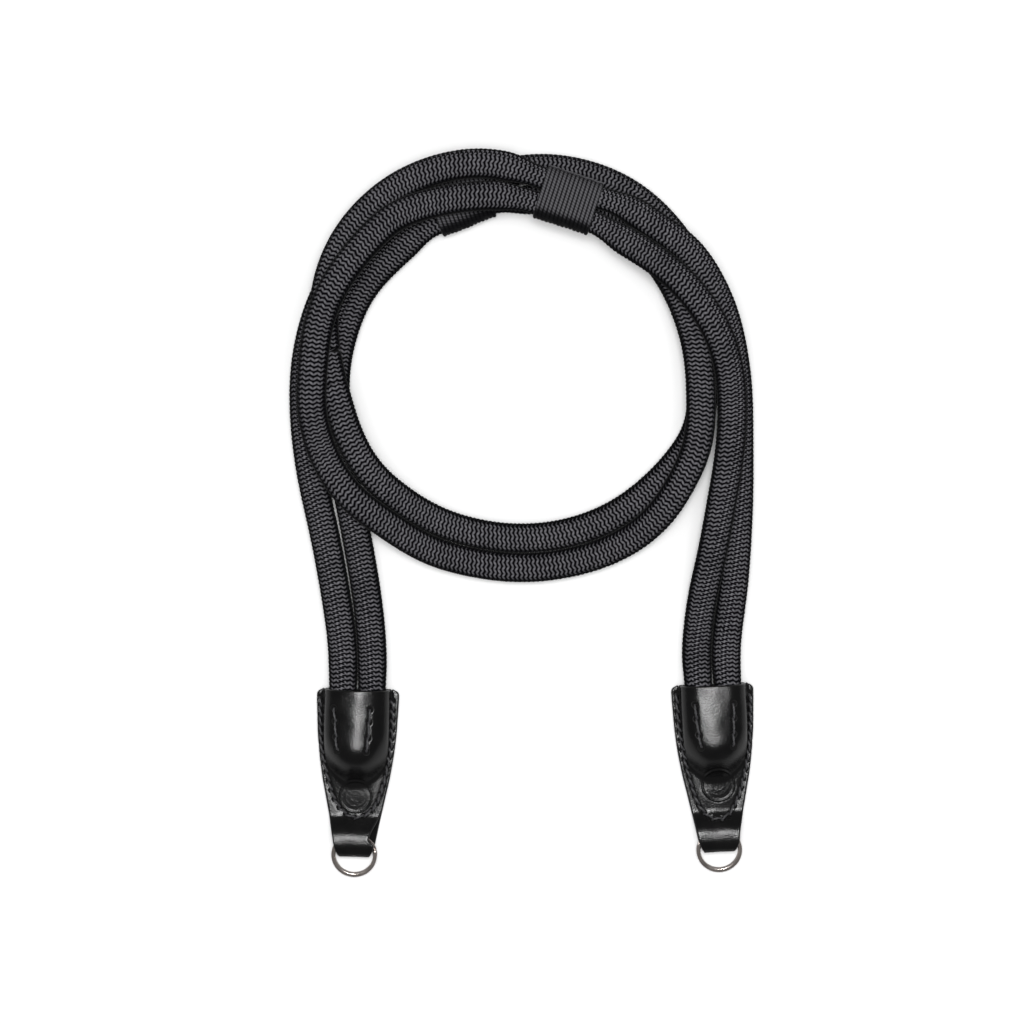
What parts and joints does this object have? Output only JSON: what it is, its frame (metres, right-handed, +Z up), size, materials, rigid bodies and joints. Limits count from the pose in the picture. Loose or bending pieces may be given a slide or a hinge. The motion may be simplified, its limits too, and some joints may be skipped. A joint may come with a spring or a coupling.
{
  "type": "rope camera strap",
  "caption": "Camera strap of paired braided ropes with woven keepers, laid coiled, with a folded leather tab and a split ring at each end.",
  "frame": {"origin": "centre of the laid strap's bounding box, on the surface that it lies on", "axes": "+Z up from the surface, +Y from the tabs towards the top of the coil, +X to the right seen from above"},
  "size_m": [0.1655, 0.2588, 0.0305],
  "materials": {
    "rope": "braided, faint sheen",
    "keeper": "woven, ribbed",
    "leather": "smooth, glossy, painted edges",
    "ring": "polished"
  },
  "bodies": {
    "strap": {"inner_rope": "rope", "outer_rope": "rope", "upper_keeper": "keeper", "lower_keeper": "keeper", "left_tab": "leather", "right_tab": "leather"},
    "left_ring": {"left_split_ring": "ring"},
    "right_ring": {"right_split_ring": "ring"}
  },
  "joints": [
    {"name": "left_ring_turn", "type": "hinge", "parent": "strap", "child": "left_ring", "pos_m": [-0.06014, -0.12128, 0.00254], "axis": [-0.0043, -0.1846, 0.9828], "continuous": true},
    {"name": "right_ring_turn", "type": "hinge", "parent": "strap", "child": "right_ring", "pos_m": [0.07052, -0.11955, 0.00254], "axis": [0.0079, -0.1844, 0.9828], "continuous": true}
  ]
}
